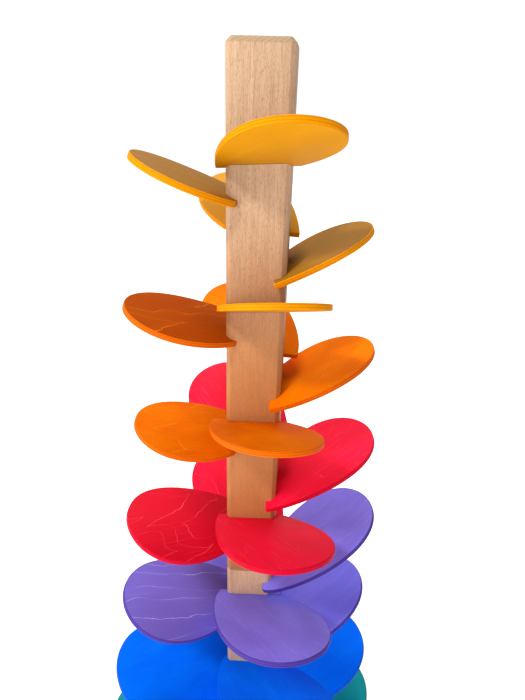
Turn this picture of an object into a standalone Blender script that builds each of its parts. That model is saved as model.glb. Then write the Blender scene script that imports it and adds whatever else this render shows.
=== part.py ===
"""Tall wooden marble tree: a square beech post in two plugged sections, carrying thirty-five tilted
oval plywood leaves in a descending spiral, on a square tray that catches the marbles.
Metres, +Z up, the floor at Z = 0 and the post's axis on the Z axis."""
from math import cos, pi, radians, sin, sqrt

import bmesh
import bpy
from mathutils import Matrix, Vector

# Play between pieces that touch.
GAP = 0.0003

# Post: planed square timber with chamfered long edges, in two sections.
POST_W = 0.065
POST_CHAMFER = 0.005
UPPER_LEN = 0.664
LOWER_LEN = 0.856

# Tray under the post.
BOARD_SIZE = 0.480
BOARD_T = 0.018
RAIL_W = 0.015
RAIL_H = 0.034
EDGE_CHAMFER = 0.002

SEAM_Z = BOARD_T + LOWER_LEN
TOP_Z = SEAM_Z + UPPER_LEN

# Leaves: one every quarter turn, each in a saw kerf that slopes down into the post.
LEAF_T = 0.0065
LEAF_COUNT = 35
UPPER_LEAVES = 15
LEAVES_PER_COLOUR = 5
FIRST_KERF_DROP = 0.100
LEAF_PITCH = 0.0385
QUARTER_TURN = pi / 2.0
KERF_DEPTH = 0.0125
LEAF_POINTS = 44

# Kerfs that were sawn off the even spacing: leaf number and how far up its kerf sits.
KERF_SHIFT = {
    1: -0.001,
    3: -0.001,
    5: -0.003,
    7: 0.002,
    8: 0.002,
    9: -0.002,
    10: 0.002,
    16: 0.004,
    17: -0.006,
    23: -0.009,
}

# Leaf templates, top to bottom: colour; oval half length, half width and belly; the oval's
# centre along the kerf and out from it; the kerf's tilt outward and its slope along the face.
TEMPLATES = (
    ("yellow", 0.0835, 0.048, 0.34, 0.013, 0.037, 23.3, 3.5),
    ("orange", 0.087, 0.0545, 0.21, 0.013, 0.052, 20.5, 2.5),
    ("red", 0.101, 0.062, 0.32, 0.025, 0.0585, 22.0, 4.2),
    ("purple", 0.107, 0.0655, 0.27, 0.029, 0.075, 24.8, 5.0),
    ("blue", 0.115, 0.076, 0.32, 0.040, 0.084, 22.0, 4.5),
    ("green", 0.129, 0.084, 0.32, 0.040, 0.094, 22.0, 4.0),
    ("lime", 0.135, 0.088, 0.32, 0.044, 0.099, 22.0, 4.0),
)
OVAL_TURN = radians(53.0)

# Two loose-fit dowels that plug the upper section on to the lower one.
DOWEL_R = 0.005
DOWEL_LEN = 0.060
DOWEL_OFFSET = 0.010
DOWEL_CHAMFER = 0.001
DOWEL_SIDES = 24

# Four countersunk screws from under the board into the foot of the post.
SCREW_HEAD_R = 0.0048
SCREW_HEAD_H = 0.0028
SCREW_SHANK_R = 0.0025
SCREW_TIP_R = 0.0006
SCREW_LEN = 0.058
SCREW_TIP_LEN = 0.006
SCREW_OFFSET = 0.017
SCREW_SINK = 0.0008
SCREW_SIDES = 20

# How far a cutter runs past the face it cuts.
OVERRUN = 0.010

COLOURS = {
    "yellow": ((0.95, 0.50, 0.02), 0.45),
    "orange": ((0.85, 0.22, 0.01), 0.45),
    "red": ((0.78, 0.02, 0.06), 0.45),
    "purple": ((0.22, 0.13, 0.50), 0.45),
    "blue": ((0.01, 0.12, 0.75), 0.45),
    "green": ((0.01, 0.24, 0.22), 0.45),
    "lime": ((0.30, 0.52, 0.04), 0.45),
    "beech": ((0.66, 0.42, 0.26), 0.55),
    "beech_foot": ((0.62, 0.38, 0.24), 0.55),
    "dowel_beech": ((0.70, 0.50, 0.32), 0.60),
    "board_ply": ((0.72, 0.55, 0.36), 0.55),
    "rail_beech": ((0.66, 0.42, 0.26), 0.50),
}
SCREW_COLOUR = (0.62, 0.62, 0.60)
SCREW_ROUGHNESS = 0.35


def clear_scene():
    for ob in list(bpy.data.objects):
        bpy.data.objects.remove(ob, do_unlink=True)


def make_material(name, colour, roughness, metallic=0.0):
    mat = bpy.data.materials.new(name)
    mat.use_nodes = True
    shader = mat.node_tree.nodes["Principled BSDF"]
    shader.inputs["Base Color"].default_value = (*colour, 1.0)
    shader.inputs["Roughness"].default_value = roughness
    shader.inputs["Metallic"].default_value = metallic
    return mat


def make_object(name, mesh):
    ob = bpy.data.objects.new(name, mesh)
    bpy.context.scene.collection.objects.link(ob)
    return ob


def mesh_from_rings(name, rings, mat):
    """A closed body from stacked rings of points, capped at both ends."""
    bm = bmesh.new()
    layers = [[bm.verts.new(p) for p in ring] for ring in rings]
    count = len(rings[0])
    for low, high in zip(layers, layers[1:]):
        for i in range(count):
            j = (i + 1) % count
            bm.faces.new((low[i], low[j], high[j], high[i]))
    bm.faces.new(layers[0][::-1])
    bm.faces.new(layers[-1])
    bmesh.ops.recalc_face_normals(bm, faces=bm.faces[:])
    mesh = bpy.data.meshes.new(name)
    bm.to_mesh(mesh)
    bm.free()
    if mat is not None:
        mesh.materials.append(mat)
    return mesh


def circle(radius, z, sides, cx=0.0, cy=0.0):
    step = 2.0 * pi / sides
    return [(cx + radius * cos(i * step), cy + radius * sin(i * step), z) for i in range(sides)]


def smooth_sides(mesh):
    """Round pieces: the sides shade smooth, the flat ends stay flat."""
    for poly in mesh.polygons:
        poly.use_smooth = len(poly.vertices) == 4
    mesh.set_sharp_from_angle(angle=radians(40.0))


def join_cutter(name, meshes):
    """One hidden wire cutter made of several separate closed bodies."""
    bm = bmesh.new()
    for mesh in meshes:
        bm.from_mesh(mesh)
    whole = bpy.data.meshes.new(name)
    bm.to_mesh(whole)
    bm.free()
    cutter = make_object(name, whole)
    cutter.hide_render = True
    cutter.display_type = "WIRE"
    return cutter


def cut(ob, cutter):
    mod = ob.modifiers.new(cutter.name, "BOOLEAN")
    mod.operation = "DIFFERENCE"
    mod.solver = "EXACT"
    mod.object = cutter


# Leaves


def oval_point(template, angle):
    """A point on the leaf's egg-shaped oval: along the kerf, and out from it."""
    _, half_len, half_wid, belly, along, out = template[:6]
    a = half_len * cos(angle)
    b = half_wid * sin(angle) * (1.0 + belly * cos(angle))
    u = along + a * cos(OVAL_TURN) - b * sin(OVAL_TURN)
    v = out + a * sin(OVAL_TURN) + b * cos(OVAL_TURN)
    return u, v


def crossing(template, inside, outside):
    """The angle at which the oval meets the straight edge that sits in the kerf."""
    for _ in range(50):
        middle = 0.5 * (inside + outside)
        if oval_point(template, middle)[1] > 0.0:
            inside = middle
        else:
            outside = middle
    return inside


def leaf_outline(template):
    """The oval trimmed by the kerf's straight edge, anticlockwise seen from above."""
    top = 0.5 * pi - OVAL_TURN
    first = crossing(template, top, top - pi)
    last = crossing(template, top, top + pi)
    step = (last - first) / (LEAF_POINTS - 1)
    points = [oval_point(template, first + i * step) for i in range(LEAF_POINTS)]
    return [(u, -max(v, 0.0)) for u, v in points]


def leaf_mesh(template, mat):
    outline = leaf_outline(template)
    low = [(x, y, -LEAF_T) for x, y in outline]
    high = [(x, y, 0.0) for x, y in outline]
    mesh = mesh_from_rings("leaf_" + template[0], [low, high], mat)
    smooth_sides(mesh)
    return mesh


def leaf_rotation(index):
    """The turn on to the leaf's side of the post, and that turn with its slope and tilt."""
    tilt, slope = TEMPLATES[index // LEAVES_PER_COLOUR][6:]
    spin = Matrix.Rotation(-index * QUARTER_TURN, 4, "Z")
    sloped = spin @ Matrix.Rotation(-radians(slope), 4, "Y")
    return spin, sloped @ Matrix.Rotation(-radians(tilt), 4, "X")


def kerf_height(index):
    """Height at which a leaf's top face leaves the post."""
    return TOP_Z - FIRST_KERF_DROP - index * LEAF_PITCH + KERF_SHIFT.get(index, 0.0)


def leaf_matrix(index):
    """The leaf's frame: origin at the middle of its straight edge, on the kerf's floor."""
    spin, turn = leaf_rotation(index)
    inward = (spin.inverted() @ turn).to_3x3() @ Vector((0.0, 1.0, 0.0))
    along = (spin.inverted() @ turn).to_3x3() @ Vector((1.0, 0.0, 0.0))
    place = Vector((0.0, -0.5 * POST_W, kerf_height(index)))
    place += inward * (KERF_DEPTH / inward.y)
    place -= along * (place.x / along.x)
    return Matrix.Translation(spin @ place) @ turn


def add_leaves(materials):
    meshes = {t[0]: leaf_mesh(t, materials[t[0]]) for t in TEMPLATES}
    for index in range(LEAF_COUNT):
        group, number = divmod(index, LEAVES_PER_COLOUR)
        colour = TEMPLATES[group][0]
        ob = make_object("leaf_%s_%d" % (colour, number + 1), meshes[colour])
        place, turn, _ = leaf_matrix(index).decompose()
        ob.location = place
        ob.rotation_euler = turn.to_euler("XYZ")


def kerf_slab(index):
    """The slot for one leaf: open past the post on three sides, with play round the leaf."""
    half = POST_W
    near = -(KERF_DEPTH + 2.0 * OVERRUN)
    corners = [(-half, near), (half, near), (half, GAP), (-half, GAP)]
    low = [(x, y, -LEAF_T - GAP) for x, y in corners]
    high = [(x, y, GAP) for x, y in corners]
    mesh = mesh_from_rings("kerf_slab", [low, high], None)
    mesh.transform(leaf_matrix(index))
    return mesh


# Post


def post_ring(half, corner, z):
    """The post's section: a square with its four corners cut off."""
    near = half - corner
    return [
        (half, -near, z),
        (half, near, z),
        (near, half, z),
        (-near, half, z),
        (-half, near, z),
        (-half, -near, z),
        (-near, -half, z),
        (near, -half, z),
    ]


def upper_post_mesh(mat):
    """Upper section, its origin at the middle of its foot; the top is chamfered all round."""
    half = 0.5 * POST_W
    inner = half - POST_CHAMFER
    inner_corner = 2.0 * inner - (2.0 * half - POST_CHAMFER - sqrt(2.0) * POST_CHAMFER)
    rings = [
        post_ring(half, POST_CHAMFER, 0.5 * GAP),
        post_ring(half, POST_CHAMFER, UPPER_LEN - POST_CHAMFER),
        post_ring(inner, inner_corner, UPPER_LEN),
    ]
    return mesh_from_rings("post_upper", rings, mat)


def lower_post_mesh(mat):
    half = 0.5 * POST_W
    rings = [
        post_ring(half, POST_CHAMFER, GAP),
        post_ring(half, POST_CHAMFER, LOWER_LEN - 0.5 * GAP),
    ]
    return mesh_from_rings("post_lower", rings, mat)


def dowel_spots():
    return ((-DOWEL_OFFSET, -DOWEL_OFFSET), (DOWEL_OFFSET, DOWEL_OFFSET))


def dowel_holes():
    reach = 0.5 * DOWEL_LEN + 2.0 * GAP
    holes = []
    for x, y in dowel_spots():
        low = circle(DOWEL_R + GAP, SEAM_Z - reach, DOWEL_SIDES, x, y)
        high = circle(DOWEL_R + GAP, SEAM_Z + reach, DOWEL_SIDES, x, y)
        holes.append(mesh_from_rings("dowel_hole", [low, high], None))
    return holes


def screw_spots():
    s = SCREW_OFFSET
    return ((-s, -s), (s, -s), (s, s), (-s, s))


def screw_holes():
    """Countersunk clearance holes through the board and pilot holes in the post."""
    holes = []
    for x, y in screw_spots():
        head = SCREW_HEAD_R + GAP
        shank = SCREW_SHANK_R + GAP
        rings = [
            circle(head, -OVERRUN, SCREW_SIDES, x, y),
            circle(head, SCREW_SINK, SCREW_SIDES, x, y),
            circle(shank, SCREW_SINK + SCREW_HEAD_H, SCREW_SIDES, x, y),
            circle(shank, SCREW_SINK + SCREW_LEN + 2.0 * GAP, SCREW_SIDES, x, y),
        ]
        holes.append(mesh_from_rings("screw_hole", rings, None))
    return holes


def add_posts(materials, screw_cutter):
    upper = make_object("post_upper", upper_post_mesh(materials["beech"]))
    upper.location.z = SEAM_Z
    lower = make_object("post_lower", lower_post_mesh(materials["beech_foot"]))
    lower.location.z = BOARD_T
    dowel_cutter = join_cutter("cut_dowel_holes", dowel_holes())
    kerfs = [kerf_slab(i) for i in range(UPPER_LEAVES)]
    cut(upper, join_cutter("cut_kerfs_upper", kerfs))
    cut(upper, dowel_cutter)
    kerfs = [kerf_slab(i) for i in range(UPPER_LEAVES, LEAF_COUNT)]
    cut(lower, join_cutter("cut_kerfs_lower", kerfs))
    cut(lower, dowel_cutter)
    cut(lower, screw_cutter)


def add_dowels(mat):
    half = 0.5 * DOWEL_LEN
    rings = [
        circle(DOWEL_R - DOWEL_CHAMFER, -half, DOWEL_SIDES),
        circle(DOWEL_R, -half + DOWEL_CHAMFER, DOWEL_SIDES),
        circle(DOWEL_R, half - DOWEL_CHAMFER, DOWEL_SIDES),
        circle(DOWEL_R - DOWEL_CHAMFER, half, DOWEL_SIDES),
    ]
    mesh = mesh_from_rings("dowel", rings, mat)
    smooth_sides(mesh)
    for number, (x, y) in enumerate(dowel_spots()):
        ob = make_object("dowel_%d" % (number + 1), mesh)
        ob.location = (x, y, SEAM_Z)


# Tray


def add_board(mat, screw_cutter):
    half = 0.5 * BOARD_SIZE
    inner = half - EDGE_CHAMFER
    rings = []
    for side, z in ((inner, 0.0), (half, EDGE_CHAMFER), (half, BOARD_T)):
        rings.append([(side, -side, z), (side, side, z), (-side, side, z), (-side, -side, z)])
    board = make_object("base_board", mesh_from_rings("base_board", rings, mat))
    cut(board, screw_cutter)


def rail_mesh(mat):
    """One mitred rim rail, lying along X at the board's front edge, outer face at Y = 0."""
    c = EDGE_CHAMFER
    half = 0.5 * BOARD_SIZE
    profile = [
        (0.0, GAP),
        (RAIL_W, GAP),
        (RAIL_W, RAIL_H - c),
        (RAIL_W - c, RAIL_H),
        (c, RAIL_H),
        (0.0, RAIL_H - c),
    ]
    left = [(-(half - y - GAP), y, z) for y, z in profile]
    right = [(half - y - GAP, y, z) for y, z in profile]
    return mesh_from_rings("rail", [left, right], mat)


def add_rails(mat):
    mesh = rail_mesh(mat)
    half = 0.5 * BOARD_SIZE
    for number, side in enumerate(("front", "right", "back", "left")):
        angle = number * QUARTER_TURN
        ob = make_object("rail_" + side, mesh)
        ob.location = (half * sin(angle), -half * cos(angle), BOARD_T)
        ob.rotation_euler = (0.0, 0.0, angle)


def add_screws(mat):
    rings = [
        circle(SCREW_HEAD_R, SCREW_SINK, SCREW_SIDES),
        circle(SCREW_SHANK_R, SCREW_SINK + SCREW_HEAD_H, SCREW_SIDES),
        circle(SCREW_SHANK_R, SCREW_SINK + SCREW_LEN - SCREW_TIP_LEN, SCREW_SIDES),
        circle(SCREW_TIP_R, SCREW_SINK + SCREW_LEN, SCREW_SIDES),
    ]
    mesh = mesh_from_rings("screw", rings, mat)
    smooth_sides(mesh)
    for number, (x, y) in enumerate(screw_spots()):
        ob = make_object("screw_%d" % (number + 1), mesh)
        ob.location = (x, y, 0.0)


def main():
    clear_scene()
    materials = {name: make_material(name, *look) for name, look in COLOURS.items()}
    steel = make_material("screw_steel", SCREW_COLOUR, SCREW_ROUGHNESS, 1.0)
    screw_cutter = join_cutter("cut_screw_holes", screw_holes())
    add_posts(materials, screw_cutter)
    add_leaves(materials)
    add_dowels(materials["dowel_beech"])
    add_board(materials["board_ply"], screw_cutter)
    add_rails(materials["rail_beech"])
    add_screws(steel)


main()
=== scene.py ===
"""Tall wooden marble tree: stained plywood leaves in a spiral round a square beech post, on a tray.
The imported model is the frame. Every node gets a finer piece in the same place, with its own wood.
Metres, +Z up, the floor at Z = 0 and the post's axis on the Z axis."""

from math import cos, pi, radians, sin, sqrt

import bmesh
import bpy
from mathutils import Matrix, Vector


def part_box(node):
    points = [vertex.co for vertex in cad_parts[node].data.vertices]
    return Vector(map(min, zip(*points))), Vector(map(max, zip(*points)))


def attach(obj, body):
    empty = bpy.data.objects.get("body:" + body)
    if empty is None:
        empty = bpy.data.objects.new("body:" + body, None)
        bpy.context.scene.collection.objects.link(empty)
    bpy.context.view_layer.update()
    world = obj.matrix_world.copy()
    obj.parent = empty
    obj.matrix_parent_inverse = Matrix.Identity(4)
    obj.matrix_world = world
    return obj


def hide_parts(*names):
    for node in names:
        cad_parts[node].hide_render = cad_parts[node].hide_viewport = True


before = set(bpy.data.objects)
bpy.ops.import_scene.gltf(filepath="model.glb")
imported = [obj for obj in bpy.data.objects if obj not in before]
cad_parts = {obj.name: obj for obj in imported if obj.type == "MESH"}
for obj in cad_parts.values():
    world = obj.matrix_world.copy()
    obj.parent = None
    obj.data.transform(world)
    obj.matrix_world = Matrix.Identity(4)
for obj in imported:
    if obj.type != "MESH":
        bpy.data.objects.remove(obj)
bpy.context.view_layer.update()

# Play left between a piece and the hole or kerf that it sits in.
GAP = 0.0003

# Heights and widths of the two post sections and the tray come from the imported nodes.
POST_LOW, POST_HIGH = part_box("post_upper")
FOOT_LOW, FOOT_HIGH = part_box("post_lower")
BOARD_LOW, BOARD_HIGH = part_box("base_board")
TOP_Z = POST_HIGH.z
SEAM_Z = 0.5 * (POST_LOW.z + FOOT_HIGH.z)
POST_W = POST_HIGH.x - POST_LOW.x
BOARD_SIZE = BOARD_HIGH.x - BOARD_LOW.x
BOARD_T = BOARD_HIGH.z - BOARD_LOW.z
BOARD_PLIES = 11.0
BOARD_PLY_T = BOARD_T / BOARD_PLIES
POST_CHAMFER = 0.005
POST_EASE = 0.0007

# Tray rails.
RAIL_W = 0.015
RAIL_H = 0.034
EDGE_CHAMFER = 0.002
EDGE_EASE = 0.0006

# Leaves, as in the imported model.
LEAF_T = 0.0065
LEAF_PLIES = 5.0
PLY_T = LEAF_T / LEAF_PLIES
LEAF_COUNT = 35
UPPER_LEAVES = 15
LEAVES_PER_COLOUR = 5
FIRST_KERF_DROP = 0.100
LEAF_PITCH = 0.0385
QUARTER_TURN = pi / 2.0
KERF_DEPTH = 0.0125
KERF_SHIFT = {
    1: -0.001,
    3: -0.001,
    5: -0.003,
    7: 0.002,
    8: 0.002,
    9: -0.002,
    10: 0.002,
    16: 0.004,
    17: -0.006,
    23: -0.009,
}

# Colour; oval half length, half width and belly; its centre along and out; tilt and slope.
TEMPLATES = (
    ("yellow", 0.0835, 0.048, 0.34, 0.013, 0.037, 23.3, 3.5),
    ("orange", 0.087, 0.0545, 0.21, 0.013, 0.052, 20.5, 2.5),
    ("red", 0.101, 0.062, 0.32, 0.025, 0.0585, 22.0, 4.2),
    ("purple", 0.107, 0.0655, 0.27, 0.029, 0.075, 24.8, 5.0),
    ("blue", 0.115, 0.076, 0.32, 0.040, 0.084, 22.0, 4.5),
    ("green", 0.129, 0.084, 0.32, 0.040, 0.094, 22.0, 4.0),
    ("lime", 0.135, 0.088, 0.32, 0.044, 0.099, 22.0, 4.0),
)
OVAL_TURN = radians(53.0)
LEAF_POINTS = 180
NOSE_TRIM = 0.0012
NOSE_POINTS = 5
RIM_EASE = 0.0009

# How plainly a leaf's veneer shows its growth lines, and how much painted shade darkens its face
# where light reaches it less, both 0 to 1.
PLAIN_VENEER = (0.25, 0.0)
LEAF_FIGURE_AND_SHADE = {
    1: (0.2, 0.9),
    3: (0.2, 0.9),
    5: (0.6, 0.8),
    7: (0.4, 0.0),
    9: (0.6, 0.15),
    13: (1.0, 0.8),
    15: (0.3, 0.4),
    16: (0.3, 0.0),
    17: (1.0, 0.75),
    18: (0.4, 0.3),
    19: (0.3, 0.5),
    20: (0.4, 0.0),
    24: (0.5, 0.2),
    27: (0.6, 0.0),
    31: (0.4, 0.3),
}

# Dowels with pressed flutes, and countersunk screws with a cross recess.
DOWEL_R = 0.005
DOWEL_LEN = 0.060
DOWEL_OFFSET = 0.010
DOWEL_CHAMFER = 0.001
DOWEL_SIDES = 96
DOWEL_FLUTES = 16
FLUTE_DEPTH = 0.00035
SCREW_HEAD_R = 0.0048
SCREW_HEAD_H = 0.0028
SCREW_CORE_R = 0.0018
SCREW_SHANK_R = 0.0025
SCREW_LEN = 0.058
SCREW_TIP_LEN = 0.006
SCREW_PITCH = 0.0024
SCREW_OFFSET = 0.017
SCREW_SINK = 0.0008
SCREW_SIDES = 40
SCREW_TURN = 0.3
CREST_AT = 0.35
NEXT_ROOT_AT = 0.70
RECESS_HALF_LEN = 0.0026
RECESS_HALF_WID = 0.0005
RECESS_DEPTH = 0.0016

# How far a cutter runs past the body that it cuts.
OVERRUN = 0.010

# How nearly level a face has to be to count as a leaf's flat side, the post's end or the tray's.
LEAF_LEVEL = 0.999
POST_END_LEVEL = 0.35
BOARD_LEVEL = 0.9

# How far apart two pieces' grain is cut from the same imagined board, and at which steps.
GRAIN_STEP = Vector((0.731, 0.387, 0.0))
POST_GRAIN = GRAIN_STEP * 50.0
DOWEL_CUT, BOARD_CUT, RAIL_CUT = 60.0, 70.0, 80.0

# Painted warm light, thrown back from the stained leaves on to the upper section, strongest low
# down: its colour and share there, and the heights between which it clears.
BOUNCE_TINT = (0.46, 0.165, 0.036)
BOUNCE_SHARE = 0.85
BOUNCE_FULL_Z = 1.18
BOUNCE_CLEAR_Z = 1.44


# Meshes


def new_object(name, mesh):
    ob = bpy.data.objects.new(name, mesh)
    bpy.context.scene.collection.objects.link(ob)
    return ob


def finish_mesh(bm, name):
    bmesh.ops.recalc_face_normals(bm, faces=bm.faces[:])
    mesh = bpy.data.meshes.new(name)
    bm.to_mesh(mesh)
    bm.free()
    return mesh


def ring_solid(rings):
    """A closed body from stacked rings of points, capped at both ends, still open for editing."""
    bm = bmesh.new()
    layers = [[bm.verts.new(p) for p in ring] for ring in rings]
    count = len(rings[0])
    for low, high in zip(layers, layers[1:]):
        for i in range(count):
            j = (i + 1) % count
            bm.faces.new((low[i], low[j], high[j], high[i]))
    bm.faces.new(layers[0][::-1])
    bm.faces.new(layers[-1])
    bmesh.ops.recalc_face_normals(bm, faces=bm.faces[:])
    return bm


def circle(radius, z, sides, cx=0.0, cy=0.0):
    step = 2.0 * pi / sides
    return [(cx + radius * cos(i * step), cy + radius * sin(i * step), z) for i in range(sides)]


def ease_edges(bm, width, segments, smallest_angle=radians(30.0)):
    """Sands every hard edge to a small round."""
    hard = [e for e in bm.edges if e.calc_face_angle(0.0) > smallest_angle]
    bmesh.ops.bevel(
        bm,
        geom=hard,
        offset=width,
        segments=segments,
        profile=0.5,
        affect="EDGES",
        clamp_overlap=True,
    )


def shade_smooth(mesh, sharp=radians(35.0)):
    for poly in mesh.polygons:
        poly.use_smooth = True
    mesh.set_sharp_from_angle(angle=sharp)


def carve(ob, cutter_meshes):
    """Cuts closed bodies out of an object and keeps the result as its mesh."""
    bm = bmesh.new()
    for mesh in cutter_meshes:
        bm.from_mesh(mesh)
    cutter = new_object("carver", finish_mesh(bm, "carver"))
    mod = ob.modifiers.new("carve", "BOOLEAN")
    mod.operation = "DIFFERENCE"
    mod.solver = "EXACT"
    mod.object = cutter
    graph = bpy.context.evaluated_depsgraph_get()
    result = bpy.data.meshes.new_from_object(ob.evaluated_get(graph))
    ob.modifiers.clear()
    ob.data = result
    bpy.data.objects.remove(cutter, do_unlink=True)


def lay_grain(ob, turn, start):
    """Stores where each point lies in the board it was cut from: X along the grain."""
    mesh = ob.data
    grain = mesh.attributes.new("board", "FLOAT_VECTOR", "POINT")
    for vert, item in zip(mesh.vertices, grain.data):
        item.vector = turn @ vert.co + start


def place_piece(ob, node, body):
    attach(ob, body)
    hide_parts(node)


# Leaves


def oval_point(template, angle):
    """A point on the leaf's egg-shaped oval: along the kerf, and out from it."""
    _, half_len, half_wid, belly, along, out = template[:6]
    a = half_len * cos(angle)
    b = half_wid * sin(angle) * (1.0 + belly * cos(angle))
    u = along + a * cos(OVAL_TURN) - b * sin(OVAL_TURN)
    v = out + a * sin(OVAL_TURN) + b * cos(OVAL_TURN)
    return u, v


def crossing(template, inside, outside):
    """The angle at which the oval meets the straight edge that sits in the kerf."""
    for _ in range(50):
        middle = 0.5 * (inside + outside)
        if oval_point(template, middle)[1] > 0.0:
            inside = middle
        else:
            outside = middle
    return inside


def round_nose(before, corner, after):
    """A sanded corner between two edges: a short curve that keeps inside them."""
    points = []
    for i in range(NOSE_POINTS + 1):
        t = i / NOSE_POINTS
        near = before.lerp(corner, t)
        far = corner.lerp(after, t)
        points.append(near.lerp(far, t))
    return points


def leaf_outline(template):
    """The oval trimmed by the kerf's straight edge, its two corners rounded over."""
    top = 0.5 * pi - OVAL_TURN
    first = crossing(template, top, top - pi)
    last = crossing(template, top, top + pi)
    step = (last - first) / (LEAF_POINTS - 1)
    oval = [Vector(oval_point(template, first + i * step)) for i in range(LEAF_POINTS)]
    start, end = oval[0], oval[-1]
    curve = [p for p in oval if min((p - start).length, (p - end).length) > NOSE_TRIM]
    edge = (start - end).normalized() * NOSE_TRIM
    points = round_nose(start - edge, start, curve[0])
    points += curve[1:-1]
    points += round_nose(curve[-1], end, end + edge)
    return [(p.x, -max(p.y, 0.0)) for p in points]


def leaf_mesh(template):
    outline = leaf_outline(template)
    low = [(x, y, -LEAF_T) for x, y in outline]
    high = [(x, y, 0.0) for x, y in outline]
    bm = ring_solid([low, high])
    rim = [e for e in bm.edges if abs(e.verts[0].co.z - e.verts[1].co.z) < 1e-6]
    bmesh.ops.bevel(
        bm, geom=rim, offset=RIM_EASE, segments=3, profile=0.5, affect="EDGES", clamp_overlap=False
    )
    for face in bm.faces:
        flat = abs(face.normal.z) > LEAF_LEVEL and len(face.verts) > 8
        face.material_index = 0 if flat else 1
        face.smooth = not flat
    mesh = finish_mesh(bm, "leaf_" + template[0])
    mesh.set_sharp_from_angle(angle=radians(50.0))
    return mesh


def leaf_rotation(index):
    """The turn on to the leaf's side of the post, and that turn with its slope and tilt."""
    tilt, slope = TEMPLATES[index // LEAVES_PER_COLOUR][6:]
    spin = Matrix.Rotation(-index * QUARTER_TURN, 4, "Z")
    sloped = spin @ Matrix.Rotation(-radians(slope), 4, "Y")
    return spin, sloped @ Matrix.Rotation(-radians(tilt), 4, "X")


def kerf_height(index):
    """Height at which a leaf's top face leaves the post."""
    return TOP_Z - FIRST_KERF_DROP - index * LEAF_PITCH + KERF_SHIFT.get(index, 0.0)


def leaf_matrix(index):
    """The leaf's frame: origin at the middle of its straight edge, on the kerf's floor."""
    spin, turn = leaf_rotation(index)
    inward = (spin.inverted() @ turn).to_3x3() @ Vector((0.0, 1.0, 0.0))
    along = (spin.inverted() @ turn).to_3x3() @ Vector((1.0, 0.0, 0.0))
    place = Vector((0.0, -0.5 * POST_W, kerf_height(index)))
    place += inward * (KERF_DEPTH / inward.y)
    place -= along * (place.x / along.x)
    return Matrix.Translation(spin @ place) @ turn


def mark_figure_and_shade(mesh, figured, painted_shade):
    """Stores how plainly this leaf's veneer shows its lines, and how much painted shade darkens its
    face.
    """
    for name, value in (("figured", figured), ("painted_shade", painted_shade)):
        layer = mesh.attributes.new(name, "FLOAT", "POINT")
        for item in layer.data:
            item.value = value


def leaf_grain(index):
    """Grain runs along the oval's length, a few degrees off from leaf to leaf."""
    swing = OVAL_TURN + radians(5.0 * sin(2.3 * index + 0.4))
    return Matrix.Rotation(swing, 3, "Z")


def add_leaves(faces, rims):
    shapes = {t[0]: leaf_mesh(t) for t in TEMPLATES}
    for index in range(LEAF_COUNT):
        group, number = divmod(index, LEAVES_PER_COLOUR)
        colour = TEMPLATES[group][0]
        ob = new_object("%s_leaf_%d" % (colour, number + 1), shapes[colour].copy())
        ob.matrix_world = leaf_matrix(index)
        lay_grain(ob, leaf_grain(index), GRAIN_STEP * index)
        mark_figure_and_shade(ob.data, *LEAF_FIGURE_AND_SHADE.get(index, PLAIN_VENEER))
        ob.data.materials.append(faces[colour])
        ob.data.materials.append(rims[colour])
        body = "upper_section" if index < UPPER_LEAVES else "lower_section"
        place_piece(ob, "leaf_%s_%d" % (colour, number + 1), body)


def kerf_slab(index):
    """The slot for one leaf: open past the post on three sides, with play round the leaf."""
    half = POST_W
    near = -(KERF_DEPTH + 2.0 * OVERRUN)
    corners = [(-half, near), (half, near), (half, GAP), (-half, GAP)]
    low = [(x, y, -LEAF_T - GAP) for x, y in corners]
    high = [(x, y, GAP) for x, y in corners]
    mesh = finish_mesh(ring_solid([low, high]), "kerf_slab")
    mesh.transform(leaf_matrix(index))
    return mesh


# Post


def post_ring(half, corner, z):
    """The post's section: a square with its four corners cut off."""
    near = half - corner
    return [
        (half, -near, z),
        (half, near, z),
        (near, half, z),
        (-near, half, z),
        (-half, near, z),
        (-half, -near, z),
        (-near, -half, z),
        (near, -half, z),
    ]


def upper_post_solid():
    """The top's chamfer is as wide at the post's cut-off corners as along its sides."""
    half = 0.5 * POST_W
    inner = half - POST_CHAMFER
    inner_corner = 2.0 * inner - (2.0 * half - POST_CHAMFER - sqrt(2.0) * POST_CHAMFER)
    rings = [
        post_ring(half, POST_CHAMFER, POST_LOW.z),
        post_ring(half, POST_CHAMFER, TOP_Z - POST_CHAMFER),
        post_ring(inner, inner_corner, TOP_Z),
    ]
    bm = ring_solid(rings)
    ease_edges(bm, POST_EASE, 3)
    return finish_mesh(bm, "upper_post")


def lower_post_solid():
    half = 0.5 * POST_W
    rings = [
        post_ring(half, POST_CHAMFER, FOOT_LOW.z),
        post_ring(half, POST_CHAMFER, FOOT_HIGH.z),
    ]
    bm = ring_solid(rings)
    ease_edges(bm, POST_EASE, 3)
    return finish_mesh(bm, "lower_post")


def dowel_spots():
    return ((-DOWEL_OFFSET, -DOWEL_OFFSET), (DOWEL_OFFSET, DOWEL_OFFSET))


def dowel_holes():
    reach = 0.5 * DOWEL_LEN + 2.0 * GAP
    holes = []
    for x, y in dowel_spots():
        low = circle(DOWEL_R + GAP, SEAM_Z - reach, DOWEL_SIDES // 2, x, y)
        high = circle(DOWEL_R + GAP, SEAM_Z + reach, DOWEL_SIDES // 2, x, y)
        holes.append(finish_mesh(ring_solid([low, high]), "dowel_hole"))
    return holes


def screw_spots():
    s = SCREW_OFFSET
    return ((-s, -s), (s, -s), (s, s), (-s, s))


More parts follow.
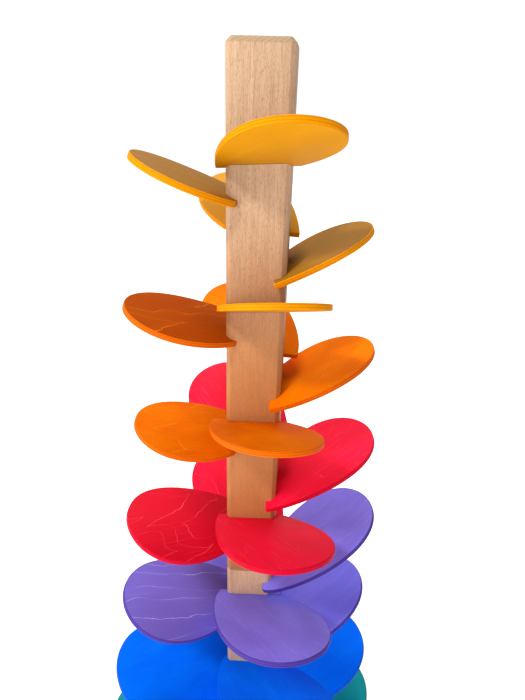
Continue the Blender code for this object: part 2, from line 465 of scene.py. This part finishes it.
def screw_holes():
    """Countersunk clearance holes through the board and pilot holes in the post."""
    holes = []
    head = SCREW_HEAD_R + GAP
    shank = SCREW_SHANK_R + GAP
    for x, y in screw_spots():
        rings = [
            circle(head, -OVERRUN, SCREW_SIDES, x, y),
            circle(head, SCREW_SINK, SCREW_SIDES, x, y),
            circle(shank, SCREW_SINK + SCREW_HEAD_H, SCREW_SIDES, x, y),
            circle(shank, SCREW_SINK + SCREW_LEN + 2.0 * GAP, SCREW_SIDES, x, y),
        ]
        holes.append(finish_mesh(ring_solid(rings), "screw_hole"))
    return holes


def end_faces_slot(mesh, slot):
    """Faces that cut across the grain take the end-grain material."""
    for poly in mesh.polygons:
        poly.material_index = slot if abs(poly.normal.z) > POST_END_LEVEL else 0


def upright_grain():
    """Turns the post's Z axis on to the board's X axis."""
    return Matrix(((0.0, 0.0, 1.0), (0.0, 1.0, 0.0), (-1.0, 0.0, 0.0)))


def add_post(name, node, body, mesh, kerfs, holes, woods):
    ob = new_object(name, mesh)
    carve(ob, [kerf_slab(i) for i in kerfs] + holes)
    ob.data.materials.clear()
    for wood in woods:
        ob.data.materials.append(wood)
    end_faces_slot(ob.data, 1)
    shade_smooth(ob.data)
    lay_grain(ob, upright_grain(), POST_GRAIN)
    place_piece(ob, node, body)


def add_posts(woods, foot_woods):
    upper = range(UPPER_LEAVES)
    lower = range(UPPER_LEAVES, LEAF_COUNT)
    add_post(
        "upper_post",
        "post_upper",
        "upper_section",
        upper_post_solid(),
        upper,
        dowel_holes(),
        woods,
    )
    add_post(
        "lower_post",
        "post_lower",
        "lower_section",
        lower_post_solid(),
        lower,
        dowel_holes() + screw_holes(),
        foot_woods,
    )


def dowel_ring(radius, z):
    """A fluted section: shallow grooves pressed along the dowel to let glue and air past."""
    points = []
    for i in range(DOWEL_SIDES):
        angle = 2.0 * pi * i / DOWEL_SIDES
        groove = 0.5 * (1.0 + cos(DOWEL_FLUTES * angle))
        r = radius - FLUTE_DEPTH * groove * groove
        points.append((r * cos(angle), r * sin(angle), z))
    return points


def add_dowels(wood):
    half = 0.5 * DOWEL_LEN
    rings = [
        dowel_ring(DOWEL_R - DOWEL_CHAMFER, -half),
        dowel_ring(DOWEL_R, -half + DOWEL_CHAMFER),
        dowel_ring(DOWEL_R, half - DOWEL_CHAMFER),
        dowel_ring(DOWEL_R - DOWEL_CHAMFER, half),
    ]
    for number, (x, y) in enumerate(dowel_spots()):
        ob = new_object("fluted_dowel_%d" % (number + 1), finish_mesh(ring_solid(rings), "dowel"))
        ob.location = (x, y, SEAM_Z)
        shade_smooth(ob.data)
        lay_grain(ob, upright_grain(), GRAIN_STEP * (DOWEL_CUT + number))
        ob.data.materials.append(wood)
        place_piece(ob, "dowel_%d" % (number + 1), "lower_section")


# Tray


def add_board(face, edge):
    half = 0.5 * BOARD_SIZE
    inner = half - EDGE_CHAMFER
    rings = []
    for side, z in ((inner, 0.0), (half, EDGE_CHAMFER), (half, BOARD_T)):
        rings.append([(side, -side, z), (side, side, z), (-side, side, z), (-side, -side, z)])
    bm = ring_solid(rings)
    ease_edges(bm, EDGE_EASE, 2)
    ob = new_object("tray_board", finish_mesh(bm, "tray_board"))
    carve(ob, screw_holes())
    ob.data.materials.clear()
    ob.data.materials.append(face)
    ob.data.materials.append(edge)
    for poly in ob.data.polygons:
        poly.material_index = 0 if abs(poly.normal.z) > BOARD_LEVEL else 1
    shade_smooth(ob.data)
    lay_grain(ob, Matrix.Identity(3), GRAIN_STEP * BOARD_CUT)
    place_piece(ob, "base_board", "lower_section")


def rail_mesh():
    """One mitred rim rail, lying along X at the board's front edge, outer face at Y = 0."""
    c = EDGE_CHAMFER
    half = 0.5 * BOARD_SIZE
    profile = [
        (0.0, GAP),
        (RAIL_W, GAP),
        (RAIL_W, RAIL_H - c),
        (RAIL_W - c, RAIL_H),
        (c, RAIL_H),
        (0.0, RAIL_H - c),
    ]
    left = [(-(half - y - GAP), y, z) for y, z in profile]
    right = [(half - y - GAP, y, z) for y, z in profile]
    bm = ring_solid([left, right])
    ease_edges(bm, EDGE_EASE, 3)
    return finish_mesh(bm, "rail")


def add_rails(wood):
    half = 0.5 * BOARD_SIZE
    for number, side in enumerate(("front", "right", "back", "left")):
        angle = number * QUARTER_TURN
        ob = new_object("tray_rail_" + side, rail_mesh())
        ob.location = (half * sin(angle), -half * cos(angle), BOARD_T)
        ob.rotation_euler = (0.0, 0.0, angle)
        shade_smooth(ob.data)
        lay_grain(ob, Matrix.Identity(3), GRAIN_STEP * (RAIL_CUT + number))
        ob.data.materials.append(wood)
        place_piece(ob, "rail_" + side, "lower_section")


def screw_thread_rings():
    """The shank as close rings whose radius rises and falls once a pitch."""
    rings = [
        circle(SCREW_HEAD_R, 0.0, SCREW_SIDES),
        circle(SCREW_CORE_R, SCREW_HEAD_H, SCREW_SIDES),
    ]
    z = SCREW_HEAD_H + SCREW_PITCH
    end = SCREW_LEN - SCREW_TIP_LEN
    while z < end:
        rings.append(circle(SCREW_CORE_R, z, SCREW_SIDES))
        rings.append(circle(SCREW_SHANK_R, z + CREST_AT * SCREW_PITCH, SCREW_SIDES))
        rings.append(circle(SCREW_CORE_R, z + NEXT_ROOT_AT * SCREW_PITCH, SCREW_SIDES))
        z += SCREW_PITCH
    rings.append(circle(0.3 * SCREW_CORE_R, SCREW_LEN, SCREW_SIDES))
    return rings


def recess_bar(angle):
    """One bar of the cross recess, sunk into the head from below and narrowing as it goes in."""
    rings = []
    for depth, share in ((-RECESS_DEPTH, 1.4), (RECESS_DEPTH, 0.55)):
        x = RECESS_HALF_LEN * share
        y = RECESS_HALF_WID
        rings.append([(-x, -y, depth), (x, -y, depth), (x, y, depth), (-x, y, depth)])
    mesh = finish_mesh(ring_solid(rings), "recess_bar")
    mesh.transform(Matrix.Rotation(angle, 4, "Z"))
    return mesh


def add_screws(steel):
    for number, (x, y) in enumerate(screw_spots()):
        ob = new_object(
            "countersunk_screw_%d" % (number + 1),
            finish_mesh(ring_solid(screw_thread_rings()), "screw"),
        )
        carve(ob, [recess_bar(SCREW_TURN * number)])
        carve(ob, [recess_bar(SCREW_TURN * number + QUARTER_TURN)])
        ob.location = (x, y, SCREW_SINK)
        ob.data.materials.clear()
        ob.data.materials.append(steel)
        shade_smooth(ob.data)
        lay_grain(ob, Matrix.Identity(3), Vector())
        place_piece(ob, "screw_%d" % (number + 1), "lower_section")


# Materials


class Surface:
    """One material's node tree, built in code round its Principled shader."""

    def __init__(self, name):
        self.mat = bpy.data.materials.new(name)
        self.mat.use_nodes = True
        self.tree = self.mat.node_tree
        self.shader = self.tree.nodes["Principled BSDF"]

    def add(self, kind, **settings):
        made = self.tree.nodes.new("ShaderNode" + kind)
        for key, value in settings.items():
            setattr(made, key, value)
        return made

    def feed(self, socket, value):
        if isinstance(value, bpy.types.NodeSocket):
            self.tree.links.new(value, socket)
        elif isinstance(value, tuple) and socket.type == "RGBA":
            socket.default_value = (*value, 1.0)
        else:
            socket.default_value = value

    def board(self):
        """Where a point lies in the board it was cut from, in metres, X along the grain."""
        return self.add("Attribute", attribute_name="board").outputs["Vector"]

    def stretched(self, vector, per_metre):
        made = self.add("VectorMath", operation="MULTIPLY")
        self.feed(made.inputs[0], vector)
        made.inputs[1].default_value = per_metre
        return made.outputs["Vector"]

    def split(self, vector):
        made = self.add("SeparateXYZ")
        self.feed(made.inputs[0], vector)
        return made.outputs

    def noise(self, vector, detail=2.0, distortion=0.0):
        made = self.add("TexNoise")
        self.feed(made.inputs["Vector"], vector)
        made.inputs["Scale"].default_value = 1.0
        made.inputs["Detail"].default_value = detail
        made.inputs["Distortion"].default_value = distortion
        return made.outputs["Fac"]

    def maths(self, operation, *values):
        made = self.add("Math", operation=operation)
        for socket, value in zip(made.inputs, values):
            self.feed(socket, value)
        return made.outputs[0]

    def fade(self, value, low, high, to_low=0.0, to_high=1.0):
        """A smooth step from to_low at low to to_high at high."""
        made = self.add("MapRange", interpolation_type="SMOOTHSTEP")
        self.feed(made.inputs["Value"], value)
        made.inputs["From Min"].default_value = low
        made.inputs["From Max"].default_value = high
        made.inputs["To Min"].default_value = to_low
        made.inputs["To Max"].default_value = to_high
        return made.outputs["Result"]

    def blend(self, share, first, second):
        made = self.add("Mix", data_type="RGBA")
        self.feed(made.inputs["Factor"], share)
        self.feed(made.inputs[6], first)
        self.feed(made.inputs[7], second)
        return made.outputs[2]

    def bump(self, height, distance, strength=1.0):
        made = self.add("Bump")
        self.feed(made.inputs["Height"], height)
        made.inputs["Distance"].default_value = distance
        made.inputs["Strength"].default_value = strength
        self.feed(self.shader.inputs["Normal"], made.outputs["Normal"])


def veneer_figure(s, board, along, across, arch, roam):
    """Height field whose whole numbers are the growth lines of a rotary-cut veneer."""
    x, y, _ = s.split(board)
    wander = s.noise(s.stretched(board, (9.0, 17.0, 0.0)), 1.0)
    ragged = s.noise(s.stretched(board, (60.0, 90.0, 0.0)), 3.0)
    swing = s.maths("MULTIPLY_ADD", wander, 0.10, y)
    zigzag = s.maths("PINGPONG", s.maths("MULTIPLY", swing, 30.0), 1.0)
    field = s.maths("MULTIPLY_ADD", x, along, s.maths("MULTIPLY", y, across))
    field = s.maths("MULTIPLY_ADD", zigzag, arch, field)
    field = s.maths("MULTIPLY_ADD", wander, roam, field)
    return s.maths("MULTIPLY_ADD", ragged, 0.22, field)


def growth_lines(s, board, figure, width):
    """Thin broken lines where the figure passes a half."""
    ramp = s.maths("FRACT", figure)
    away = s.maths("ABSOLUTE", s.maths("SUBTRACT", ramp, 0.5))
    line = s.fade(away, 0.0, width, 1.0, 0.0)
    worn = s.noise(s.stretched(board, (28.0, 40.0, 0.0)), 1.0)
    shown = s.add("Attribute", attribute_name="figured").outputs["Fac"]
    line = s.maths("MULTIPLY", line, s.fade(worn, 0.36, 0.58, 0.25, 1.0))
    return s.maths("MULTIPLY", line, shown), ramp


def stained_face(name, stain, figure, width, line_share, gloss):
    """Stained and oiled plywood face: cloudy colour, fibres, speckle and pale growth lines, with
    painted shade darkening the leaves that light reaches less.
    """
    colour, deep, pale, painted_shade_colour = stain
    s = Surface(name)
    board = s.board()
    lines, ramp = growth_lines(s, board, veneer_figure(s, board, *figure), width)
    clouds = s.noise(s.stretched(board, (12.0, 22.0, 0.0)), 3.0, 0.3)
    fibres = s.noise(s.stretched(board, (60.0, 1300.0, 0.0)), 2.0)
    scores = s.noise(s.stretched(board, (11.0, 700.0, 0.0)), 1.0)
    speckle = s.noise(s.stretched(board, (420.0, 800.0, 0.0)), 2.0)
    # Painted shade: a leaf's face is darkened towards the stain's painted shade colour, and its
    # pale scores fade.
    painted_shade = s.add("Attribute", attribute_name="painted_shade").outputs["Fac"]
    body = s.blend(s.fade(clouds, 0.25, 0.75, 0.15, 1.0), deep, colour)
    body = s.blend(painted_shade, body, painted_shade_colour)
    tone = s.blend(painted_shade, deep, painted_shade_colour)
    body = s.blend(s.fade(fibres, 0.42, 0.80, 0.0, 0.50), body, tone)
    body = s.blend(s.fade(speckle, 0.46, 0.72, 0.0, 0.55), body, tone)
    score_share = s.fade(painted_shade, 0.0, 1.0, 0.26, 0.06)
    body = s.blend(s.maths("MULTIPLY", s.fade(scores, 0.62, 0.76), score_share), body, pale)
    shade = s.maths("MULTIPLY", s.fade(ramp, 0.50, 0.75, 0.14, 0.0), s.fade(ramp, 0.48, 0.52))
    body = s.blend(shade, body, deep)
    body = s.blend(s.maths("MULTIPLY", lines, line_share), body, pale)
    s.feed(s.shader.inputs["Base Color"], body)
    rough = s.fade(clouds, 0.2, 0.8, 0.52, 0.62)
    s.feed(s.shader.inputs["Roughness"], s.maths("MULTIPLY_ADD", lines, 0.08, rough))
    height = s.maths("MULTIPLY_ADD", lines, 0.8, fibres)
    s.bump(s.maths("MULTIPLY_ADD", speckle, 0.5, height), 0.00010)
    s.shader.inputs["Specular IOR Level"].default_value = gloss
    return s.mat


def stained_rim(name, colour, deep):
    """Sawn and sanded plywood edge: cross plies drink more stain, thin glue lines between."""
    s = Surface(name)
    board = s.board()
    _, _, z = s.split(board)
    waver = s.noise(s.stretched(board, (60.0, 60.0, 60.0)), 2.0)
    level = s.maths("MULTIPLY_ADD", waver, 0.4, s.maths("DIVIDE", z, PLY_T))
    cross = s.maths("PINGPONG", level, 1.0)
    streaks = s.noise(s.stretched(board, (330.0, 330.0, 2600.0)), 3.0)
    pores = s.noise(s.stretched(board, (1500.0, 1500.0, 1500.0)), 2.0)
    body = s.blend(s.fade(cross, 0.40, 0.60, 0.0, 0.50), colour, deep)
    body = s.blend(s.fade(streaks, 0.42, 0.75, 0.0, 0.40), body, deep)
    body = s.blend(s.fade(pores, 0.60, 0.80, 0.0, 0.25), body, deep)
    s.feed(s.shader.inputs["Base Color"], body)
    s.feed(s.shader.inputs["Roughness"], s.fade(streaks, 0.3, 0.7, 0.48, 0.62))
    s.bump(s.maths("MULTIPLY_ADD", cross, 0.4, streaks), 0.00015)
    s.shader.inputs["Specular IOR Level"].default_value = 0.04
    return s.mat


def beech(name, pale, mid, dark, bounce=0.0):
    """Planed and oiled beech, cut along the grain: straight growth bands and fine dark flecks.
    The last argument sets how much painted warm light, thrown back from the leaves, tints the
    section low down."""
    s = Surface(name)
    board = s.board()
    bands = s.noise(s.stretched(board, (0.9, 130.0, 130.0)), 2.0)
    drift = s.noise(s.stretched(board, (0.8, 12.0, 12.0)), 1.0)
    fibres = s.noise(s.stretched(board, (35.0, 1300.0, 1300.0)), 3.0)
    flecks = s.noise(s.stretched(board, (260.0, 2300.0, 2300.0)), 1.0)
    body = s.blend(s.fade(bands, 0.30, 0.70, 0.0, 0.8), pale, mid)
    body = s.blend(s.fade(drift, 0.40, 0.75, 0.0, 0.3), body, mid)
    # Painted warm light from the leaves, tinting the section more towards the bottom.
    if bounce:
        height, _, _ = s.split(board)
        low = s.fade(height, POST_GRAIN.x + BOUNCE_FULL_Z, POST_GRAIN.x + BOUNCE_CLEAR_Z, bounce, 0.0)
        body = s.blend(low, body, BOUNCE_TINT)
    body = s.blend(s.fade(fibres, 0.42, 0.72, 0.0, 0.38), body, dark)
    body = s.blend(s.fade(flecks, 0.56, 0.68, 0.0, 0.52), body, dark)
    s.feed(s.shader.inputs["Base Color"], body)
    s.feed(s.shader.inputs["Roughness"], s.fade(fibres, 0.3, 0.7, 0.50, 0.62))
    s.bump(s.maths("SUBTRACT", fibres, s.fade(flecks, 0.60, 0.74)), 0.00010)
    s.shader.inputs["Specular IOR Level"].default_value = 0.22
    return s.mat


def end_grain(name, mid, dark, pith):
    """Beech sawn across the grain: growth rings round a pith outside the post, and fine rays."""
    s = Surface(name)
    board = s.board()
    _, y, z = s.split(board)
    away_y = s.maths("SUBTRACT", y, pith[0])
    away_z = s.maths("SUBTRACT", z, pith[1])
    square_z = s.maths("MULTIPLY", away_z, away_z)
    radius = s.maths("SQRT", s.maths("MULTIPLY_ADD", away_y, away_y, square_z))
    bearing = s.maths("ARCTAN2", away_z, away_y)
    waver = s.noise(s.stretched(board, (0.0, 60.0, 60.0)), 2.0)
    year = s.maths("FRACT", s.maths("MULTIPLY_ADD", radius, 310.0, waver))
    joined = s.add("CombineXYZ")
    s.feed(joined.inputs[0], s.maths("MULTIPLY", bearing, 420.0))
    s.feed(joined.inputs[1], s.maths("MULTIPLY", radius, 260.0))
    rays = s.noise(joined.outputs[0], 2.0)
    pores = s.noise(s.stretched(board, (0.0, 2400.0, 2400.0)), 2.0)
    body = s.blend(s.fade(year, 0.35, 0.98, 0.0, 0.40), mid, dark)
    body = s.blend(s.fade(rays, 0.52, 0.72, 0.0, 0.35), body, mid)
    body = s.blend(s.fade(pores, 0.55, 0.78, 0.0, 0.45), body, dark)
    s.feed(s.shader.inputs["Base Color"], body)
    s.feed(s.shader.inputs["Roughness"], s.fade(pores, 0.3, 0.7, 0.58, 0.70))
    s.bump(s.maths("MULTIPLY_ADD", year, -0.6, pores), 0.00015)
    s.shader.inputs["Specular IOR Level"].default_value = 0.30
    return s.mat


def ply_face(name, pale, mid, dark):
    """Clear-oiled birch plywood face for the tray."""
    s = Surface(name)
    board = s.board()
    field = veneer_figure(s, board, 4.0, 34.0, 1.2, 3.2)
    ramp = s.maths("FRACT", field)
    clouds = s.noise(s.stretched(board, (5.0, 16.0, 0.0)), 3.0, 0.3)
    fibres = s.noise(s.stretched(board, (50.0, 1100.0, 0.0)), 3.0)
    dashes = s.noise(s.stretched(board, (150.0, 1300.0, 0.0)), 1.0)
    body = s.blend(s.fade(ramp, 0.15, 1.0, 0.0, 0.75), pale, mid)
    body = s.blend(s.fade(clouds, 0.45, 0.75, 0.0, 0.35), body, mid)
    body = s.blend(s.fade(fibres, 0.50, 0.80, 0.0, 0.30), body, dark)
    body = s.blend(s.fade(dashes, 0.66, 0.76, 0.0, 0.60), body, dark)
    s.feed(s.shader.inputs["Base Color"], body)
    s.feed(s.shader.inputs["Roughness"], s.fade(clouds, 0.3, 0.7, 0.46, 0.58))
    s.bump(s.maths("MULTIPLY_ADD", fibres, 0.7, ramp), 0.00010)
    s.shader.inputs["Specular IOR Level"].default_value = 0.35
    return s.mat


def ply_edge(name, pale, dark):
    """The tray board's sawn edge: eleven plies, every other one showing end grain."""
    s = Surface(name)
    board = s.board()
    _, _, z = s.split(board)
    waver = s.noise(s.stretched(board, (25.0, 25.0, 25.0)), 2.0)
    level = s.maths("MULTIPLY_ADD", waver, 0.3, s.maths("DIVIDE", z, BOARD_PLY_T))
    cross = s.maths("PINGPONG", level, 1.0)
    streaks = s.noise(s.stretched(board, (260.0, 260.0, 2200.0)), 3.0)
    body = s.blend(s.fade(cross, 0.40, 0.60, 0.0, 0.65), pale, dark)
    body = s.blend(s.fade(streaks, 0.42, 0.75, 0.0, 0.40), body, dark)
    s.feed(s.shader.inputs["Base Color"], body)
    s.feed(s.shader.inputs["Roughness"], s.fade(streaks, 0.3, 0.7, 0.52, 0.66))
    s.bump(s.maths("MULTIPLY_ADD", cross, -0.5, streaks), 0.00018)
    s.shader.inputs["Specular IOR Level"].default_value = 0.30
    return s.mat


def zinc_steel(name):
    """Bright zinc-plated screw: faint turning marks and a mottled plate."""
    s = Surface(name)
    place = s.board()
    mottle = s.noise(s.stretched(place, (900.0, 900.0, 900.0)), 3.0)
    turning = s.noise(s.stretched(place, (60.0, 60.0, 9000.0)), 2.0)
    body = s.blend(mottle, (0.48, 0.48, 0.47), (0.72, 0.72, 0.70))
    s.feed(s.shader.inputs["Base Color"], body)
    s.shader.inputs["Metallic"].default_value = 1.0
    s.feed(s.shader.inputs["Roughness"], s.fade(mottle, 0.3, 0.7, 0.26, 0.42))
    s.bump(turning, 0.00004)
    return s.mat


# Stain colours: body, deeper tone, pale growth lines, and the painted shade colour that darkens
# leaves which light reaches less; then the rim's own pair.
STAINS = {
    "yellow": ((0.63, 0.275, 0.004), (0.55, 0.215, 0.002), (0.80, 0.42, 0.05), (0.27, 0.12, 0.01)),
    "orange": ((0.88, 0.210, 0.0), (0.71, 0.120, 0.0), (0.95, 0.36, 0.03), (0.26, 0.032, 0.0)),
    "red": ((0.90, 0.006, 0.050), (0.74, 0.002, 0.026), (0.95, 0.18, 0.25), (0.58, 0.002, 0.018)),
    "purple": ((0.24, 0.225, 0.93), (0.175, 0.150, 0.72), (0.48, 0.48, 0.96), (0.14, 0.105, 0.46)),
    "blue": ((0.0, 0.175, 0.94), (0.0, 0.120, 0.78), (0.02, 0.32, 0.98), (0.0, 0.070, 0.55)),
    "green": ((0.003, 0.31, 0.29), (0.001, 0.22, 0.21), (0.06, 0.44, 0.42), (0.0, 0.15, 0.15)),
    "lime": ((0.30, 0.54, 0.02), (0.22, 0.42, 0.01), (0.46, 0.66, 0.12), (0.16, 0.32, 0.008)),
}
RIM_STAINS = {
    "yellow": ((0.82, 0.28, 0.0), (0.50, 0.14, 0.0)),
    "orange": ((0.76, 0.135, 0.0), (0.44, 0.045, 0.0)),
    "red": ((0.68, 0.003, 0.028), (0.36, 0.001, 0.010)),
    "purple": ((0.078, 0.046, 0.32), (0.038, 0.018, 0.17)),
    "blue": ((0.0, 0.085, 0.72), (0.0, 0.042, 0.46)),
    "green": ((0.002, 0.170, 0.170), (0.001, 0.095, 0.100)),
    "lime": ((0.220, 0.410, 0.010), (0.130, 0.270, 0.005)),
}
# Figure of each stain's veneer: lines per metre along and across the grain, arch height and
# roaming; then the lines' width, how strongly they show, and the oil's gloss.
FIGURES = {
    "yellow": ((3.0, 20.0, 0.4, 2.0), 0.020, 0.25, 0.07),
    "orange": ((9.0, 18.0, 1.1, 2.6), 0.018, 0.75, 0.015),
    "red": ((17.0, 4.0, 1.5, 2.4), 0.015, 0.95, 0.09),
    "purple": ((2.0, 42.0, 0.4, 2.0), 0.022, 0.85, 0.12),
    "blue": ((6.0, 26.0, 0.8, 2.6), 0.020, 0.25, 0.02),
    "green": ((16.0, 10.0, 1.8, 2.6), 0.018, 0.60, 0.08),
    "lime": ((3.0, 30.0, 0.6, 2.0), 0.020, 0.60, 0.10),
}

# Bare and oiled woods, each from pale to dark, and where the post's growth rings are centred.
POST_WOOD = ((0.545, 0.365, 0.232), (0.46, 0.285, 0.170), (0.27, 0.135, 0.065))
FOOT_WOOD = ((0.65, 0.425, 0.262), (0.56, 0.340, 0.192), (0.34, 0.175, 0.084))
POST_END_WOOD = ((0.44, 0.29, 0.165), (0.24, 0.14, 0.075))
DOWEL_WOOD = ((0.74, 0.54, 0.36), (0.66, 0.45, 0.28), (0.44, 0.26, 0.14))
TRAY_WOOD = ((0.76, 0.60, 0.41), (0.64, 0.47, 0.29), (0.42, 0.27, 0.14))
TRAY_EDGE_WOOD = ((0.70, 0.52, 0.33), (0.40, 0.25, 0.13))
RAIL_WOOD = ((0.71, 0.46, 0.29), (0.61, 0.37, 0.215), (0.39, 0.20, 0.10))
PITH = (POST_GRAIN.y + 0.11, 0.09)


def leaf_materials():
    faces, rims = {}, {}
    for name, stain in STAINS.items():
        figure, width, line_share, gloss = FIGURES[name]
        faces[name] = stained_face(name + "_stained_face", stain, figure, width, line_share, gloss)
        rims[name] = stained_rim(name + "_stained_rim", *RIM_STAINS[name])
    return faces, rims


def post_materials():
    upper = beech("oiled_beech_painted_bounce", *POST_WOOD, BOUNCE_SHARE)
    lower = beech("pale_beech", *FOOT_WOOD)
    upper_end = end_grain("beech_end_grain", *POST_END_WOOD, PITH)
    lower_end = end_grain("pale_beech_end_grain", *POST_END_WOOD, PITH)
    return (upper, upper_end), (lower, lower_end)


def build_tree():
    faces, rims = leaf_materials()
    add_leaves(faces, rims)
    woods, foot_woods = post_materials()
    add_posts(woods, foot_woods)
    add_dowels(beech("dowel_wood", *DOWEL_WOOD))
    add_board(ply_face("tray_birch", *TRAY_WOOD), ply_edge("tray_ply_edge", *TRAY_EDGE_WOOD))
    add_rails(beech("rail_wood", *RAIL_WOOD))
    add_screws(zinc_steel("zinc_steel"))


# Stage, light and camera


def floor_material():
    """Pale matt floor that glows a little away from the tree, and is clear from below so that the
    underside can be looked at."""
    s = Surface("pale_floor")
    place = s.add("TexCoord").outputs["Object"]
    grain = s.noise(s.stretched(place, (40.0, 40.0, 40.0)), 3.0)
    pale = s.blend(grain, (0.86, 0.86, 0.86), (0.90, 0.90, 0.90))
    s.feed(s.shader.inputs["Base Color"], pale)
    s.shader.inputs["Roughness"].default_value = 0.9
    s.shader.inputs["Specular IOR Level"].default_value = 0.0
    away = s.add("VectorMath", operation="LENGTH")
    s.feed(away.inputs[0], place)
    s.shader.inputs["Emission Color"].default_value = (1.0, 1.0, 1.0, 1.0)
    glow = s.fade(away.outputs["Value"], 0.3, 1.4, 0.35, 0.85)
    s.feed(s.shader.inputs["Emission Strength"], glow)
    below = s.add("NewGeometry").outputs["Backfacing"]
    clear = s.add("BsdfTransparent")
    either = s.add("MixShader")
    s.feed(either.inputs[0], below)
    s.feed(either.inputs[1], s.shader.outputs[0])
    s.feed(either.inputs[2], clear.outputs[0])
    s.feed(s.tree.nodes["Material Output"].inputs["Surface"], either.outputs[0])
    return s.mat


def add_floor():
    radius, drop = 9.0, 0.0006
    bm = bmesh.new()
    bm.faces.new([bm.verts.new(p) for p in circle(radius, -drop, 96)])
    mesh = bpy.data.meshes.new("floor")
    bm.to_mesh(mesh)
    bm.free()
    mesh.materials.append(floor_material())
    floor = new_object("floor", mesh)


def add_area(name, place, aim, width, height, power, colour):
    light = bpy.data.lights.new(name, "AREA")
    light.shape = "RECTANGLE"
    light.size = width
    light.size_y = height
    light.energy = power
    light.color = colour
    ob = new_object(name, light)
    ob.location = place
    ob.rotation_euler = (Vector(aim) - Vector(place)).to_track_quat("-Z", "Y").to_euler()


def add_world():
    """Even white surroundings, dimmer and a little cooler as light than they look."""
    world = bpy.data.worlds.new("studio")
    bpy.context.scene.world = world
    world.use_nodes = True
    tree = world.node_tree
    tree.nodes.clear()
    out = tree.nodes.new("ShaderNodeOutputWorld")
    seen = tree.nodes.new("ShaderNodeBackground")
    seen.inputs["Color"].default_value = (1.0, 1.0, 1.0, 1.0)
    seen.inputs["Strength"].default_value = 1.1
    lit = tree.nodes.new("ShaderNodeBackground")
    lit.inputs["Color"].default_value = (0.95, 0.98, 1.0, 1.0)
    lit.inputs["Strength"].default_value = 0.54
    path = tree.nodes.new("ShaderNodeLightPath")
    mix = tree.nodes.new("ShaderNodeMixShader")
    tree.links.new(path.outputs["Is Camera Ray"], mix.inputs[0])
    tree.links.new(lit.outputs[0], mix.inputs[1])
    tree.links.new(seen.outputs[0], mix.inputs[2])
    tree.links.new(mix.outputs[0], out.inputs["Surface"])


def add_lights():
    """Windows in front and on the left, a skylight behind, and a small lamp above on the left."""
    middle = (0.0, 0.0, 0.5 * TOP_Z)
    warm = (1.0, 0.93, 0.84)
    white = (1.0, 0.99, 0.97)
    add_area("window_front", (-1.0, -1.9, 1.75), middle, 1.4, 0.9, 18.0, white)
    add_area("window_left", (-2.0, -0.9, 0.90), middle, 1.2, 1.0, 24.0, warm)
    add_area("skylight_back", (-0.3, 1.4, 3.30), middle, 1.2, 1.0, 40.0, white)
    add_area("lamp_overhead", (-0.70, -1.15, 2.75), (0.0, 0.0, 0.8), 0.22, 0.22, 21.0, white)


SENSOR_W = 36.0
LENS = 26.94
CAMERA_X, CAMERA_Y, CAMERA_DROP = 0.0493, -0.5622, 0.0415
CAMERA_YAW, CAMERA_PITCH, CAMERA_ROLL = 0.0746, 0.4635, 0.0303


def add_camera():
    """Held close in front of the tree, just below its top, looking down along it."""
    yaw, pitch, roll = CAMERA_YAW, CAMERA_PITCH, CAMERA_ROLL
    forward = Vector((-sin(yaw) * cos(pitch), cos(yaw) * cos(pitch), -sin(pitch)))
    level = Vector((cos(yaw), sin(yaw), 0.0))
    rise = level.cross(forward)
    right = level * cos(roll) + rise * sin(roll)
    up = rise * cos(roll) - level * sin(roll)
    turn = Matrix((right, up, -forward)).transposed()
    data = bpy.data.cameras.new("camera")
    data.sensor_width = SENSOR_W
    data.lens = LENS
    data.clip_start = 0.02
    camera = new_object("camera", data)
    place = Vector((CAMERA_X, CAMERA_Y, TOP_Z - CAMERA_DROP))
    camera.matrix_world = Matrix.Translation(place) @ turn.to_4x4()
    bpy.context.scene.camera = camera


build_tree()
add_floor()
add_world()
add_lights()
add_camera()
bpy.context.scene.view_settings.view_transform = "Standard"
